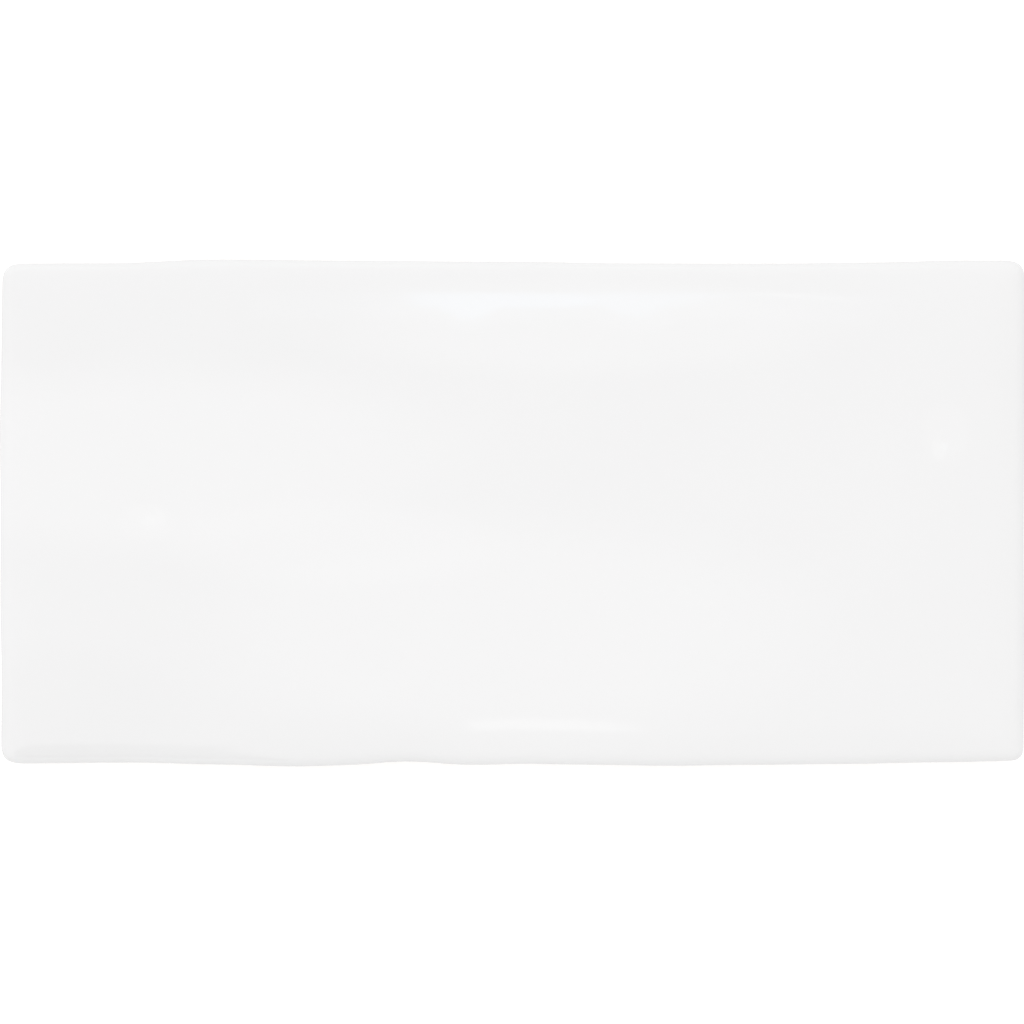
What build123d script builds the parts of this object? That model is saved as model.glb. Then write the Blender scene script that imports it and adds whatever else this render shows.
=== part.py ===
"""A pressed ceramic wall tile with a hand-made look.

One fired piece: wavy edges and soft corners, a cushioned face with shallow hollows and swells under
its glaze, walls that draw in a little towards the back, and a back keyed with a grid of pockets for
the adhesive. It lies face up on its back: X along its length, Y across it, Z up out of the face.
All sizes are in millimetres.
"""

import os

from build123d import *

# Overall size
length = 150.0  # over the furthest points of the two end edges
width = 74.2  # over the furthest points of the two long edges
thickness = 8.5  # from the back's ribs up to the face, away from its edges

# Wavy edges: how far each edge stands back from the overall size, at places along it.
# A place is 0 at the edge's first corner and 1 at its last, going clockwise seen from above.
far_edge_waves = [(0.0, 0.60), (0.11, 0.56), (0.21, 0.0), (0.33, 0.16), (0.48, 0.33),
                  (0.63, 0.58), (0.75, 0.62), (0.86, 0.44), (0.93, 0.16), (1.0, 0.16)]
right_edge_waves = [(0.0, 0.02), (0.14, 0.0), (0.35, 0.14), (0.55, 0.20), (0.77, 0.13), (1.0, 0.24)]
near_edge_waves = [(0.0, 0.86), (0.08, 0.64), (0.18, 0.38), (0.26, 0.26), (0.35, 0.12), (0.43, 0.28),
                   (0.49, 0.42), (0.54, 0.22), (0.605, 0.80), (0.66, 0.22), (0.71, 0.0), (0.79, 0.32),
                   (0.87, 0.60), (1.0, 0.44)]
left_edge_waves = [(0.0, 0.14), (0.17, 0.26), (0.33, 0.04), (0.49, 0.12), (0.66, 0.0), (0.84, 0.22),
                   (1.0, 0.34)]

# Corners, seen from above
far_left_radius = 2.4
far_right_radius = 2.3
near_right_radius = 1.6
near_left_radius = 2.4

# Edge section
wall_draw = 0.5  # how much further in the wall stands at the back than under the rim
cushion_reach = 9.0  # how far in from the edge the face begins to fall
cushion_drop = 0.75  # how far the face has fallen where it reaches the edge
cushion_steepening = 2.5  # power by which that fall grows towards the edge
rim_radius = 1.3  # rounding between the face and the wall
back_arris = 0.5  # bevel between the wall and the back

# Shallow hollows (minus) and swells (plus) of the face: share of half the length and of half the
# width from the centre, then reach and rise in millimetres
face_relief = [
    (-0.62, 0.10, 34.0, 0.16),
    (-0.12, -0.42, 36.0, 0.18),
    (0.36, 0.20, 32.0, -0.20),
    (-0.72, -0.72, 22.0, -0.14),
    (0.82, -0.10, 24.0, 0.14),
    (-0.70, 0.72, 22.0, -0.12),
]

# Keyed back
border = 5.5  # flat margin round the field of pockets
pocket_pitch = 12.0  # aimed at; the pockets share out the field evenly
rib_width = 2.4  # flat top of the ribs between two pockets
pocket_depth = 0.8
pocket_corner = 1.2  # clipped off each corner of a pocket
pocket_draft = 20.0  # degrees

# How the face is drawn
face_step = 5.0  # spacing of the points that the face passes through
face_overhang = 2.0  # how far the drawn face runs past the overall size before it is trimmed
face_clearance = 1.0  # how far the untrimmed blank stands above the highest swell
face_tolerance = 0.002


def falloff(distance, reach):
    """1 at distance 0, 0 at the reach and beyond, level at both ends."""
    nearness = max(0.0, 1.0 - distance / reach)
    return nearness * nearness * (3.0 - 2.0 * nearness)


def cushion(distance_in):
    """How far the face has fallen at a distance in from an edge line, steeper towards the edge."""
    nearness = max(0.0, 1.0 - distance_in / cushion_reach)
    return cushion_drop * nearness**cushion_steepening


def face_height(x, y):
    """Height of the glazed face above the ribs of the back."""
    height = thickness
    height -= cushion(length / 2 - abs(x)) + cushion(width / 2 - abs(y))
    for along, across, reach, rise in face_relief:
        distance = Vector(x - along * length / 2, y - across * width / 2, 0).length
        height += rise * falloff(distance, reach)
    return height


def outline(inset, level):
    """The tile's wavy outline seen from above, drawn in by an inset, as a face at a level."""
    # outward direction, half run, half distance across, waves, radius of the corner at the end
    sides = [
        (Vector(0, 1), length / 2, width / 2, far_edge_waves, far_right_radius),
        (Vector(1, 0), width / 2, length / 2, right_edge_waves, near_right_radius),
        (Vector(0, -1), length / 2, width / 2, near_edge_waves, near_left_radius),
        (Vector(-1, 0), width / 2, length / 2, left_edge_waves, far_left_radius),
    ]
    corners = []
    for side, following in zip(sides, sides[1:] + sides[:1]):
        outward, half_run, half_across, waves, radius = side
        run, following_waves = following[0], following[3]
        last, first = waves[-1][1], following_waves[0][1]
        centre = run * (half_run - first - radius) + outward * (half_across - last - radius)
        corners.append((centre, run, radius - inset))
    lines = []
    for side, before, after in zip(sides, corners[-1:] + corners[:-1], corners):
        outward, half_run, half_across, waves, radius = side
        centre, run, radius = after
        start = before[0] + outward * before[2]
        end = centre + outward * radius
        between = [
            run * half_run * (2 * place - 1) + outward * (half_across - set_back - inset)
            for place, set_back in waves[1:-1]
        ]
        lines.append(Spline(start, *between, end, tangents=[run, run]))
        lines.append(TangentArc(end, centre + run * radius, tangent=run))
    return Pos(0, 0, level) * make_face(lines)


def blank():
    """The pressed blank, widest under the rim, its walls carried on above the face."""
    under_rim = thickness - cushion_drop - rim_radius
    top = thickness + sum(max(0.0, relief[3]) for relief in face_relief) + face_clearance
    top_inset = wall_draw * (1 - top / under_rim)
    return loft([outline(wall_draw, 0), outline(top_inset, top)], ruled=True)


def above_face():
    """Everything above the glazed face, to be taken off the blank."""
    half_length, half_width = length / 2 + face_overhang, width / 2 + face_overhang
    columns = round(2 * half_length / face_step)
    rows = round(2 * half_width / face_step)
    points = []
    for row in range(rows + 1):
        y = half_width * (2 * row / rows - 1)
        line = []
        for column in range(columns + 1):
            x = half_length * (2 * column / columns - 1)
            line.append(Vector(x, y, face_height(x, y)))
        points.append(line)
    skin = Face.make_surface_from_array_of_points(points, tol=face_tolerance, min_deg=3, max_deg=5)
    return Solid.extrude(skin, Vector(0, 0, thickness))


def pockets():
    """The grid of drafted pockets in the back."""
    field_length, field_width = length - 2 * border, width - 2 * border
    across = max(1, round((field_length + rib_width) / pocket_pitch))
    down = max(1, round((field_width + rib_width) / pocket_pitch))
    pitch_along, pitch_across = (field_length + rib_width) / across, (field_width + rib_width) / down
    square = Rectangle(pitch_along - rib_width, pitch_across - rib_width)
    pocket = extrude(chamfer(square.vertices(), pocket_corner), pocket_depth, taper=pocket_draft)
    return GridLocations(pitch_along, pitch_across, across, down) * pocket


def main():
    tile = blank() - above_face()
    face = tile.faces().sort_by(Axis.Z)[-1]
    tile = fillet(face.edges(), rim_radius)
    back = tile.faces().sort_by(Axis.Z)[0]
    tile = chamfer(back.edges(), back_arris)
    tile -= pockets()
    os.makedirs("parts", exist_ok=True)
    export_step(tile, "parts/tile.step")


main()
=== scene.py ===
"""A white glazed wall tile with a hand-made look.

It lies flat on a pale floor and is seen from straight above.
"""

import math

import bmesh
import bpy
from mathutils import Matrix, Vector


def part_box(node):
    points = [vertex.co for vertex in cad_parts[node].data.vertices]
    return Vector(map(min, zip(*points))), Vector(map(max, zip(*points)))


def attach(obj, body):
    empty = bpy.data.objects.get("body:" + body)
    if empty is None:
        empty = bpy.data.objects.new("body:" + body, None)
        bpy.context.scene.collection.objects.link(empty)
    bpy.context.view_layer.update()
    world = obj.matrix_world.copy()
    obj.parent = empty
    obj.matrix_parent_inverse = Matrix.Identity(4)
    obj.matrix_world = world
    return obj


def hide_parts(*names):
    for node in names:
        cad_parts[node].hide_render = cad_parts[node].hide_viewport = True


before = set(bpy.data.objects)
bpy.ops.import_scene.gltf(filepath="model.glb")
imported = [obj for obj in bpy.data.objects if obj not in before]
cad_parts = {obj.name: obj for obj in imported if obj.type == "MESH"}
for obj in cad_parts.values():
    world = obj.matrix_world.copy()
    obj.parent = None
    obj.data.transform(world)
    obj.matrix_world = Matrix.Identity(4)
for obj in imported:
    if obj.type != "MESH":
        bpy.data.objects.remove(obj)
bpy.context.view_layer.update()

MM = 0.001

# Overall size, from the frame
tile_low, tile_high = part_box("tile")
length = tile_high.x - tile_low.x
width = tile_high.y - tile_low.y
thickness = 8.5 * MM  # from the back's ribs up to the face, away from its edges

# Wavy edges: how far each edge stands back, in millimetres, at places along it.
# A place is 0 at the edge's first corner and 1 at its last, going clockwise seen from above.
far_edge_waves = [(0.0, 0.60), (0.11, 0.56), (0.21, 0.0), (0.33, 0.16), (0.48, 0.33),
                  (0.63, 0.58), (0.75, 0.62), (0.86, 0.44), (0.93, 0.16), (1.0, 0.16)]
right_edge_waves = [(0.0, 0.02), (0.14, 0.0), (0.35, 0.14), (0.55, 0.20), (0.77, 0.13), (1.0, 0.24)]
near_edge_waves = [(0.0, 0.86), (0.08, 0.64), (0.18, 0.38), (0.26, 0.26), (0.35, 0.12), (0.43, 0.28),
                   (0.49, 0.42), (0.54, 0.22), (0.605, 0.80), (0.66, 0.22), (0.71, 0.0), (0.79, 0.32),
                   (0.87, 0.60), (1.0, 0.44)]
left_edge_waves = [(0.0, 0.14), (0.17, 0.26), (0.33, 0.04), (0.49, 0.12), (0.66, 0.0), (0.84, 0.22),
                   (1.0, 0.34)]

wave_reach = 7.0 * MM  # how far in from the edge its waves are felt

# Corners, seen from above: which way each one points, then its radius
corners = [((-1, 1), 2.4 * MM), ((1, 1), 2.3 * MM), ((1, -1), 1.6 * MM), ((-1, -1), 2.4 * MM)]

# Edge section
wall_draw = 0.5 * MM  # how much further in the wall stands at the back than under the rim
edge_falls = [(9.0 * MM, 0.55 * MM), (3.5 * MM, 0.20 * MM)]  # reach and drop of the face at its edge
edge_drop = sum(drop for reach, drop in edge_falls)
edge_cuts = [1.2 * MM, 2.4 * MM, 3.8 * MM]  # rows of points beside the edge, seen from above
rim_radius = 1.3 * MM  # rounding between the face and the wall
arris_depth = 0.9 * MM  # row of points above the back, from which the wall rounds over to it
smoothing = 2  # how many times the cage is smoothed

# Keyed back
border = 5.5 * MM  # flat margin round the field of pockets
rib_width = 2.4 * MM  # flat top of the ribs between two pockets
pockets_along, pockets_across = 12, 5
pocket_depth = 0.8 * MM
mouth_margin = 0.25 * MM  # flat ring that keeps the pocket's mouth crisp
pocket_run = 0.35 * MM  # how far the pocket's walls draw in on their way down
floor_margin = 0.4 * MM  # ring that keeps the pocket's floor flat
cuts_in_pocket = 3  # how many faces a pocket's mouth has each way

# Shallow hollows (minus) and swells (plus) of the face: share of half the length and of half the
# width from the centre, then reach and rise in millimetres
face_relief = [
    (-0.62, 0.10, 34.0, 0.16),
    (-0.12, -0.42, 36.0, 0.18),
    (0.36, 0.20, 32.0, -0.20),
    (-0.72, -0.72, 22.0, -0.14),
    (0.82, -0.10, 24.0, 0.14),
    (-0.70, 0.72, 22.0, -0.12),
]

# Small pits that the glaze has healed over, in millimetres: place, then reach and rise of the wide
# shallow part and of the narrow one in its middle
glaze_pits = [
    ((-52.8, -0.4), (3.6, -0.03), (1.4, -0.10)),
    ((62.6, 10.2), (4.4, -0.03), (1.2, -0.09)),
]
pit_cuts = 2  # extra cuts each way of the faces in and round a pit

# Low swells where the glaze has drawn together beside the far edge, in millimetres: place, reach, rise
glaze_swells = [((-6.4, 25.4), 6.0, 0.06), ((18.6, 23.4), 8.5, 0.09)]

# Painted light (plus) and painted shade (minus) in the glaze's white: lighter bands across the face,
# painted highlights on the two pits, and painted shade along the near edge and over the far left.
# Place and radii in millimetres, and how much.
# The rest is glaze_thickness, give or take half of glaze_cloud, where the glaze lies thicker or
# thinner at random.
glaze_thickness, glaze_cloud = 0.30, 0.2
cloud_patch = 17 * MM  # size of its clouds
patch_plateau = 0.5  # share of its radii out to which a patch is whole
painted_light_and_shade_patches = [
    ((-52.0, 7.8), (58.0, 17.0), 0.25),
    ((-25.0, -4.6), (30.0, 8.0), 0.16),
    ((-1.0, -17.2), (56.0, 21.0), 0.25),
    ((10.0, 27.0), (46.0, 8.5), 0.23),
    ((-66.0, -29.0), (21.0, 12.0), -0.14),
    ((-52.0, 28.0), (44.0, 13.0), -0.08),
    ((-24.0, -34.0), (20.0, 7.0), -0.08),
    ((50.0, -35.0), (30.0, 5.0), -0.08),
    ((-53.6, -1.4), (5.2, 3.4), 0.13),
    ((-52.7, -0.7), (2.7, 2.1), 0.12),
    ((63.3, 11.9), (4.5, 5.8), 0.12),
    ((62.3, 9.4), (1.4, 2.2), 0.20),
]
# Ends of the glaze's white: the deeper one for thin glaze and painted shade, the lighter one for thick
# glaze and painted light
thin_glaze_and_painted_shade = (0.875, 0.875, 0.875, 1)
thick_glaze_and_painted_light = (0.938, 0.938, 0.938, 1)
glaze_ior = 1.52
glaze_roughness = 0.05

# Where the dipped glaze ends on the walls: its lowest and highest level, the size of its waves, and
# half the band in which it gives way to the biscuit
glaze_line_low, glaze_line_high = 0.6 * MM, 4.2 * MM
glaze_line_wave = 7 * MM
glaze_line_blur = 0.15 * MM

# Biscuit: its two colours and the size of its grain, then the size and height of its grit
dark_biscuit = (0.68, 0.62, 0.55, 1)
light_biscuit = (0.80, 0.75, 0.68, 1)
biscuit_grain = 0.55 * MM
biscuit_roughness = 0.85
grit_grain, grit_height = 0.4 * MM, 0.08 * MM

# Light of the room, how much brighter it is on one side, which side that is, and its colour
room_level, room_lean = 1.020, 0.13
room_brightest = (-0.62, 0.785, 0.0)
room_colour = (1.0, 0.9975, 0.998, 1)

# Lamps: place, then width and height in metres, radiance and colour
lamps = {
    "key": ((-0.30, 1.25, 0.60), (0.90, 0.50), 0.18, (1, 1, 1)),
    "far_glow": ((0.012, 0.118, 0.90), (0.200, 0.075), 0.20, (0.74, 0.86, 1.0)),
    "far_strip": ((-0.0015, 0.131, 0.90), (0.057, 0.046), 0.88, (0.46, 0.70, 1.0)),
    "far_strip_end": ((0.0445, 0.131, 0.90), (0.035, 0.046), 0.62, (0.46, 0.70, 1.0)),
    "far_strip_tip": ((0.084, 0.140, 0.90), (0.038, 0.014), 0.65, (1, 1, 1)),
    "near_strip": ((0.014, -0.137, 0.90), (0.055, 0.030), 0.75, (1, 1, 1)),
}

# Grey board over the near left, which the glaze mirrors beside its near edge: place, size in metres
board_place, board_size = (-0.185, -0.77, 0.90), (0.16, 1.06)
board_grey = (0.40, 0.40, 0.40, 1)
board_roughness = 0.9

# Floor: its paint, and what is added where it is seen, to bring it to white
floor_paint = (0.78, 0.78, 0.78, 1)
floor_glow, floor_spare_glow = 0.22, 0.20
floor_size = 6  # metres
floor_gap = 0.02 * MM  # keeps the floor clear of the tile's back

# Camera: its lens and sensor in millimetres, how wide the picture is at the level where the tile is
# widest, and how far it stands off the tile's middle
lens, sensor = 200, 36
frame_width, widest_level = 149.83 * MM, 6.6 * MM
camera_along, camera_across = -0.08 * MM, 0.15 * MM

ALONG, ACROSS, UP = Vector((1, 0, 0)), Vector((0, 1, 0)), Vector((0, 0, 1))
SLACK = 0.01 * MM  # lines this close are one line
LEVEL_SLACK = 0.1 * MM  # heights this close are one level
POINT_SLACK = 0.001 * MM  # places this close are one point
STEEP = 0.5  # a face whose normal has less upright part than this is part of a wall
FACING_DOWN = -0.9  # a face whose normal has a lower upright part than this is part of the back
ARC_MIDDLE = 1 - math.sqrt(0.5)  # share of the radius by which the middle of an arc stands back


# Modelling by hand

def choose(test):
    """Selects the shown points of the piece that pass a test of their place."""
    bpy.ops.mesh.select_all(action="DESELECT")
    mesh = bmesh.from_edit_mesh(bpy.context.object.data)
    for point in mesh.verts:
        if not point.hide:
            point.select = test(point.co)
    mesh.select_flush(True)
    bmesh.update_edit_mesh(bpy.context.object.data)


def choose_faces(test):
    """Selects the faces whose middle and normal pass a test."""
    bpy.ops.mesh.select_all(action="DESELECT")
    bpy.ops.mesh.select_mode(type="FACE")
    mesh = bmesh.from_edit_mesh(bpy.context.object.data)
    for face in mesh.faces:
        face.select_set(test(face.calc_center_median(), face.normal))
    bmesh.update_edit_mesh(bpy.context.object.data)


def choose_numbered(numbers):
    """Selects points by their numbers."""
    bpy.ops.mesh.select_all(action="DESELECT")
    mesh = bmesh.from_edit_mesh(bpy.context.object.data)
    mesh.verts.ensure_lookup_table()
    for number in numbers:
        mesh.verts[number].select = True
    mesh.select_flush(True)
    bmesh.update_edit_mesh(bpy.context.object.data)


def choose_rim(test):
    """Selects the shown points of the walls whose height passes a test."""
    bpy.ops.mesh.select_all(action="DESELECT")
    mesh = bmesh.from_edit_mesh(bpy.context.object.data)
    for point in mesh.verts:
        on_wall = any(abs(face.normal.z) < STEEP for face in point.link_faces)
        point.select = not point.hide and on_wall and test(point.co.z)
    mesh.select_flush(True)
    bmesh.update_edit_mesh(bpy.context.object.data)


def choose_nearest(spot):
    """Selects the shown point that lies nearest to a spot, seen from above."""
    mesh = bmesh.from_edit_mesh(bpy.context.object.data)
    nearest = min((point for point in mesh.verts if not point.hide),
                  key=lambda point: (point.co.xy - spot).length)
    place = nearest.co.copy()
    choose(lambda co: (co - place).length < POINT_SLACK)


def push(offset):
    bpy.ops.transform.translate(value=offset)


def pull_softly(offset, reach, falloff="SMOOTH"):
    """Moves what is selected, and what lies within reach of it by less and less."""
    bpy.ops.transform.translate(
        value=offset,
        use_proportional_edit=True,
        proportional_edit_falloff=falloff,
        proportional_size=reach,
    )


def cut(direction, places):
    """Cuts the whole piece across a direction at each place."""
    for place in places:
        bpy.ops.mesh.select_all(action="SELECT")
        bpy.ops.mesh.bisect(plane_co=direction * place, plane_no=direction)


def between(a, b, share):
    return a + (b - a) * share


def set_back(waves, place):
    """How far an edge stands back at a place along it, eased from point to point of its waves."""
    for (before, first), (after, second) in zip(waves, waves[1:]):
        if place <= after:
            share = max(0.0, (place - before) / (after - before))
            return between(first, second, share * share * (3 - 2 * share)) * MM
    return waves[-1][1] * MM


# The tile

def mouths(size, count):
    """Start and end of each pocket along one of the tile's sizes."""
    pitch = (size - 2 * border + rib_width) / count
    starts = [-size / 2 + border + pitch * number for number in range(count)]
    return [(start, start + pitch - rib_width) for start in starts]


def cut_lines(size, count):
    """Where the blank is cut along one of its sizes: beside its edges, and at and in each pocket."""
    lines = [side * (size / 2 - row) for side in (-1, 1) for row in edge_cuts]
    for start, end in mouths(size, count):
        lines += [between(start, end, number / cuts_in_pocket) for number in range(cuts_in_pocket + 1)]
    return sorted(lines)


def outline_shift(x, y):
    """How far a point of the blank moves to follow the tile's outline: in by the waves of the two
    nearest edges, less so further from them, and on to the arc at a corner."""
    half_length, half_width = length / 2, width / 2
    side_x, side_y = (1 if x > 0 else -1), (1 if y > 0 else -1)
    from_end, from_long_edge = half_length - side_x * x, half_width - side_y * y
    along, across = x / length + 0.5, y / width + 0.5
    end = set_back(right_edge_waves, 1 - across) if side_x > 0 else set_back(left_edge_waves, across)
    long_edge = set_back(far_edge_waves, along) if side_y > 0 else set_back(near_edge_waves, 1 - along)
    inward_x = end * max(0.0, 1 - from_end / wave_reach)
    inward_y = long_edge * max(0.0, 1 - from_long_edge / wave_reach)
    radius = dict(corners)[(side_x, side_y)]
    on_end, on_long_edge = from_end < SLACK, from_long_edge < SLACK
    if on_end and on_long_edge:
        inward_x += radius * ARC_MIDDLE
        inward_y += radius * ARC_MIDDLE
    elif on_long_edge and from_end < radius:
        inward_y += radius - math.sqrt(radius**2 - (radius - from_end) ** 2)
    elif on_end and from_long_edge < radius:
        inward_x += radius - math.sqrt(radius**2 - (radius - from_long_edge) ** 2)
    return Vector((-side_x * inward_x, -side_y * inward_y, 0))


def wave_outline():
    """Pushes the upright rows of points at and beside the edges to the tile's outline, row by row."""
    rows = {}
    mesh = bmesh.from_edit_mesh(bpy.context.object.data)
    for point in mesh.verts:
        rows.setdefault((round(point.co.x, 6), round(point.co.y, 6)), []).append(point.index)
    for (x, y), numbers in rows.items():
        shift = outline_shift(x, y)
        if shift.length > 0:
            choose_numbered(numbers)
            push(shift)


def shape_section():
    """Draws the walls in towards the back and cuts the rows that the rim and the arris round over."""
    half_length, half_width = length / 2, width / 2
    choose_rim(lambda z: z < LEVEL_SLACK)
    bpy.ops.transform.resize(
        value=(1 - wall_draw / half_length, 1 - wall_draw / half_width, 1), center_override=(0, 0, 0)
    )
    cut(UP, [arris_depth, thickness - edge_drop - rim_radius])


def relieve_face():
    """Lets the face fall away to its edges and raises its swells and sinks its hollows."""
    half_length, half_width = length / 2, width / 2
    choose(lambda co: co.z > thickness - LEVEL_SLACK)
    bpy.ops.mesh.hide(unselected=True)
    for reach, drop in edge_falls:
        choose_rim(lambda z: True)
        pull_softly((0, 0, -drop), reach, "SHARP")
    for along, across, reach, rise in face_relief:
        choose_nearest(Vector((along * half_length, across * half_width)))
        pull_softly((0, 0, rise * MM), reach * MM)
    bpy.ops.mesh.reveal(select=False)


def ease_rim():
    """Brings the top of the wall in and down, to the middle of the arc between wall and face."""
    half_length, half_width = length / 2, width / 2
    eased = rim_radius * ARC_MIDDLE
    choose_rim(lambda z: z > thickness - edge_drop - rim_radius / 2)
    bpy.ops.transform.resize(
        value=(1 - eased / half_length, 1 - eased / half_width, 1), center_override=(0, 0, 0)
    )
    push((0, 0, -eased))


def key_back():
    """Sinks the pockets into the back."""
    def in_mouth(value, places):
        return any(start < value < end for start, end in places)

    places_along, places_across = mouths(length, pockets_along), mouths(width, pockets_across)
    choose_faces(lambda middle, normal: normal.z < FACING_DOWN
                 and in_mouth(middle.x, places_along) and in_mouth(middle.y, places_across))
    bpy.ops.mesh.inset(thickness=mouth_margin)
    bpy.ops.mesh.inset(thickness=pocket_run, depth=-pocket_depth)
    bpy.ops.mesh.inset(thickness=floor_margin)
    bpy.ops.mesh.select_mode(type="VERT")


def mark_glaze():
    """Presses the small pits and raises the low swells of the glaze."""
    level = thickness - edge_drop
    for place, wide, narrow in glaze_pits:
        spot, reach = Vector(place) * MM, narrow[0] * MM
        choose(lambda co: co.z > level and (co.xy - spot).length < 2 * reach)
        bpy.ops.mesh.subdivide(number_cuts=pit_cuts)
    choose(lambda co: co.z > level)
    bpy.ops.mesh.hide(unselected=True)
    marks = [(place, part) for place, wide, narrow in glaze_pits for part in (wide, narrow)]
    marks += [(place, (reach, rise)) for place, reach, rise in glaze_swells]
    for place, (reach, rise) in marks:
        choose_nearest(Vector(place) * MM)
        pull_softly((0, 0, rise * MM), reach * MM)
    bpy.ops.mesh.reveal(select=False)


def glazed_tile():
    """The whole tile: a blank cut into a cage, its edges waved, its back keyed, then smoothed."""
    bpy.ops.object.select_all(action="DESELECT")
    bpy.ops.mesh.primitive_cube_add(
        size=1, location=(0, 0, thickness / 2), scale=(length, width, thickness)
    )
    tile = bpy.context.object
    tile.name = "glazed_tile"
    bpy.ops.object.transform_apply(location=True, rotation=False, scale=True)
    bpy.ops.object.mode_set(mode="EDIT")
    cut(ALONG, cut_lines(length, pockets_along))
    cut(ACROSS, cut_lines(width, pockets_across))
    wave_outline()
    shape_section()
    relieve_face()
    ease_rim()
    key_back()
    bpy.ops.object.mode_set(mode="OBJECT")
    smooth = tile.modifiers.new("smooth", "SUBSURF")
    smooth.levels = smooth.render_levels = smoothing
    bpy.ops.object.modifier_apply(modifier="smooth")
    whole = (length / tile.dimensions.x, width / tile.dimensions.y, 1)
    bpy.ops.object.mode_set(mode="EDIT")
    bpy.ops.mesh.select_all(action="SELECT")
    bpy.ops.transform.resize(value=whole, center_override=(0, 0, 0))
    mark_glaze()
    bpy.ops.object.mode_set(mode="OBJECT")
    bpy.ops.object.shade_smooth()
    return tile


# Finishes

def calculate(tree, operation, *values):
    """A sum, product or the like of two or three values, each a number or another node's output."""
    node = tree.nodes.new("ShaderNodeMath")
    node.operation = operation
    for socket, value in zip(node.inputs, values):
        if isinstance(value, (int, float)):
            socket.default_value = value
        else:
            tree.links.new(value, socket)
    return node.outputs[0]


def spread(tree, value, low, high, to_low=0.0, to_high=1.0):
    """A value taken from one range to another, and held inside it."""
    node = tree.nodes.new("ShaderNodeMapRange")
    node.inputs["From Min"].default_value = low
    node.inputs["From Max"].default_value = high
    node.inputs["To Min"].default_value = to_low
    node.inputs["To Max"].default_value = to_high
    tree.links.new(value, node.inputs["Value"])
    return node.outputs["Result"]


def blend_of(tree, factor, first, second):
    """A mix of two colours, each written out or another node's output."""
    node = tree.nodes.new("ShaderNodeMix")
    node.data_type = "RGBA"
    for name, value in (("Factor", factor), ("A", first), ("B", second)):
        socket = next(one for one in node.inputs if one.name == name and one.enabled)
        if isinstance(value, tuple):
            socket.default_value = value
        else:
            tree.links.new(value, socket)
    return next(one for one in node.outputs if one.enabled)


def grain(tree, patch, detail):
    """Random values from 0 to 1, in patches of about a size."""
    place = tree.nodes.new("ShaderNodeTexCoord")
    node = tree.nodes.new("ShaderNodeTexNoise")
    node.inputs["Scale"].default_value = 1 / patch
    node.inputs["Detail"].default_value = detail
    tree.links.new(place.outputs["Object"], node.inputs["Vector"])
    return node.outputs[0]


def height(tree):
    """Height above the back."""
    place = tree.nodes.new("ShaderNodeTexCoord")
    parts = tree.nodes.new("ShaderNodeSeparateXYZ")
    tree.links.new(place.outputs["Object"], parts.inputs[0])
    return parts.outputs["Z"]


def patch_round(tree, middle, radii):
    """1 round a place on the face, seen from above, and fading to 0 at the radii."""
    place = tree.nodes.new("ShaderNodeTexCoord")
    around = tree.nodes.new("ShaderNodeMapping")
    around.inputs["Location"].default_value = (-middle[0] / radii[0], -middle[1] / radii[1], 0)
    around.inputs["Scale"].default_value = (1 / (radii[0] * MM), 1 / (radii[1] * MM), 0)
    ball = tree.nodes.new("ShaderNodeTexGradient")
    ball.gradient_type = "SPHERICAL"
    tree.links.new(place.outputs["Object"], around.inputs["Vector"])
    tree.links.new(around.outputs["Vector"], ball.inputs["Vector"])
    fade = tree.nodes.new("ShaderNodeMapRange")
    fade.interpolation_type = "SMOOTHSTEP"
    fade.inputs["From Max"].default_value = 1 - patch_plateau
    tree.links.new(ball.outputs[0], fade.inputs["Value"])
    return fade.outputs["Result"]


def glaze_cover(tree):
    """1 where glaze lies, 0 on the bare biscuit below the wavy line where the dipped glaze ends."""
    wave = grain(tree, glaze_line_wave, 2)
    line = spread(tree, wave, 0, 1, glaze_line_low, glaze_line_high)
    over = calculate(tree, "SUBTRACT", height(tree), line)
    return spread(tree, over, -glaze_line_blur, glaze_line_blur)


def glaze_white_and_painted_light(tree):
    """White, a shade deeper where the glaze is thin, with painted light and painted shade laid over it
    in patches.
    """
    cloud = calculate(tree, "SUBTRACT", grain(tree, cloud_patch, 3), 0.5)
    glaze_and_painted_light = calculate(tree, "MULTIPLY_ADD", cloud, glaze_cloud, glaze_thickness)
    # Painted light and painted shade: lighter bands, painted highlights on the pits, shade along the
    # near edge
    for middle, radii, amount in painted_light_and_shade_patches:
        glaze_and_painted_light = calculate(tree, "MULTIPLY_ADD", patch_round(tree, middle, radii), amount, glaze_and_painted_light)
    return blend_of(tree, glaze_and_painted_light, thin_glaze_and_painted_shade, thick_glaze_and_painted_light)


def biscuit(tree):
    """Pale fired clay with a fine grain."""
    return blend_of(tree, grain(tree, biscuit_grain, 4), dark_biscuit, light_biscuit)


def finish_of_tile():
    """White gloss glaze over a pale biscuit, bare at the back and at the foot of the walls, with
    painted light and shade in the glaze's white.
    """
    material = bpy.data.materials.new("white_glaze_on_biscuit")
    material.use_nodes = True
    tree = material.node_tree
    shader = tree.nodes["Principled BSDF"]
    shader.inputs["IOR"].default_value = glaze_ior
    cover = glaze_cover(tree)
    colour = blend_of(tree, cover, biscuit(tree), glaze_white_and_painted_light(tree))
    tree.links.new(colour, shader.inputs["Base Color"])
    roughness = spread(tree, cover, 0, 1, biscuit_roughness, glaze_roughness)
    tree.links.new(roughness, shader.inputs["Roughness"])
    bare = calculate(tree, "SUBTRACT", 1.0, cover)
    grit = tree.nodes.new("ShaderNodeBump")
    grit.inputs["Distance"].default_value = grit_height
    rise = calculate(tree, "MULTIPLY", grain(tree, grit_grain, 5), bare)
    tree.links.new(rise, grit.inputs["Height"])
    tree.links.new(grit.outputs["Normal"], shader.inputs["Normal"])
    return material


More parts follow.
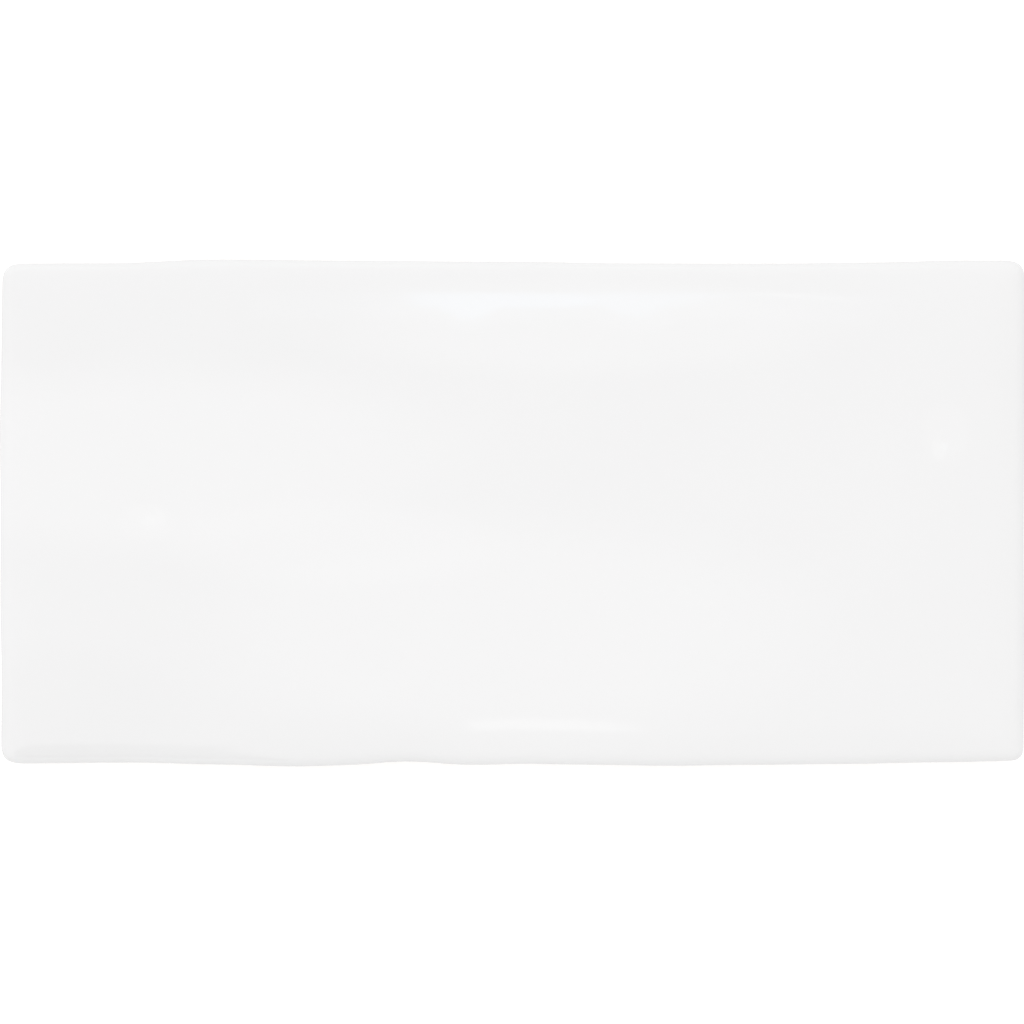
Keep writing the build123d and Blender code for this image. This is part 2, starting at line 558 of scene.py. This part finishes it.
def shown(tree):
    """1 for what the camera sees, straight, mirrored or through glass, and 0 for light that falls."""
    path = tree.nodes.new("ShaderNodeLightPath")
    mirrored, through_glass = path.outputs["Is Glossy Ray"], path.outputs["Is Transmission Ray"]
    passed_on = calculate(tree, "MAXIMUM", mirrored, through_glass)
    return calculate(tree, "MAXIMUM", path.outputs["Is Camera Ray"], passed_on)


def finish_of_floor():
    """Pale floor that shows white to the camera and in reflections, and still takes a soft shadow."""
    material = bpy.data.materials.new("pale_floor")
    material.use_nodes = True
    tree = material.node_tree
    tree.nodes.clear()
    out = tree.nodes.new("ShaderNodeOutputMaterial")
    paint = tree.nodes.new("ShaderNodeBsdfDiffuse")
    paint.inputs["Color"].default_value = floor_paint
    path = tree.nodes.new("ShaderNodeLightPath")
    spare = calculate(tree, "MULTIPLY", path.outputs["Is Camera Ray"], floor_spare_glow)
    glow = tree.nodes.new("ShaderNodeEmission")
    strength = calculate(tree, "MULTIPLY_ADD", shown(tree), floor_glow, spare)
    tree.links.new(strength, glow.inputs["Strength"])
    both = tree.nodes.new("ShaderNodeAddShader")
    tree.links.new(paint.outputs[0], both.inputs[0])
    tree.links.new(glow.outputs[0], both.inputs[1])
    tree.links.new(both.outputs[0], out.inputs["Surface"])
    return material


# Studio

def pale_floor():
    bpy.ops.object.select_all(action="DESELECT")
    bpy.ops.mesh.primitive_plane_add(size=floor_size, location=(0, 0, -floor_gap))
    floor = bpy.context.object
    floor.name = "floor"
    floor.data.materials.append(finish_of_floor())


def surroundings():
    """A pale room, a little brighter to the far left, and white to the camera and in reflections."""
    world = bpy.data.worlds.new("room")
    bpy.context.scene.world = world
    world.use_nodes = True
    tree = world.node_tree
    way = tree.nodes.new("ShaderNodeTexCoord")
    lean = tree.nodes.new("ShaderNodeVectorMath")
    lean.operation = "DOT_PRODUCT"
    lean.inputs[1].default_value = room_brightest
    tree.links.new(way.outputs["Generated"], lean.inputs[0])
    level = calculate(tree, "MULTIPLY_ADD", lean.outputs["Value"], room_lean, room_level)
    to_white = calculate(tree, "SUBTRACT", 1.0, level)
    room = tree.nodes["Background"]
    room.inputs["Color"].default_value = room_colour
    strength = calculate(tree, "MULTIPLY_ADD", shown(tree), to_white, level)
    tree.links.new(strength, room.inputs["Strength"])


def finish_of_board():
    """Plain grey card."""
    material = bpy.data.materials.new("grey_card")
    material.use_nodes = True
    shader = material.node_tree.nodes["Principled BSDF"]
    shader.inputs["Base Color"].default_value = board_grey
    shader.inputs["Roughness"].default_value = board_roughness
    return material


def near_board():
    """The grey board, hung out of the picture."""
    bpy.ops.object.select_all(action="DESELECT")
    bpy.ops.mesh.primitive_plane_add(size=1, location=board_place)
    board = bpy.context.object
    board.name = "board"
    bpy.ops.transform.resize(value=(*board_size, 1))
    bpy.ops.object.transform_apply(location=True, rotation=False, scale=True)
    board.visible_camera = False
    board.data.materials.append(finish_of_board())


def hang(name, place, size, radiance, colour):
    """A flat soft lamp that faces the tile's middle."""
    lamp = bpy.data.lights.new(name, "AREA")
    lamp.shape = "RECTANGLE"
    lamp.size, lamp.size_y = size
    lamp.energy = radiance * math.pi * lamp.size * lamp.size_y
    lamp.color = colour
    stand = bpy.data.objects.new(name, lamp)
    bpy.context.scene.collection.objects.link(stand)
    stand.location = place
    stand.rotation_euler = Vector(place).to_track_quat("Z", "Y").to_euler()


def studio():
    surroundings()
    near_board()
    for name, (place, size, radiance, colour) in lamps.items():
        hang(name, place, size, radiance, colour)


def camera():
    """Straight above, far off, so that the tile shows its face and as good as nothing of its walls."""
    eye = bpy.data.cameras.new("eye")
    eye.lens = lens
    eye.sensor_width = sensor
    view = bpy.data.objects.new("eye", eye)
    bpy.context.scene.collection.objects.link(view)
    level = widest_level + frame_width * lens / sensor
    view.location = (camera_along, camera_across, level)
    bpy.context.scene.camera = view


tile = glazed_tile()
tile.data.materials.append(finish_of_tile())
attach(tile, "root")
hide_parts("tile")

pale_floor()
studio()
camera()
bpy.context.scene.view_settings.view_transform = "Standard"
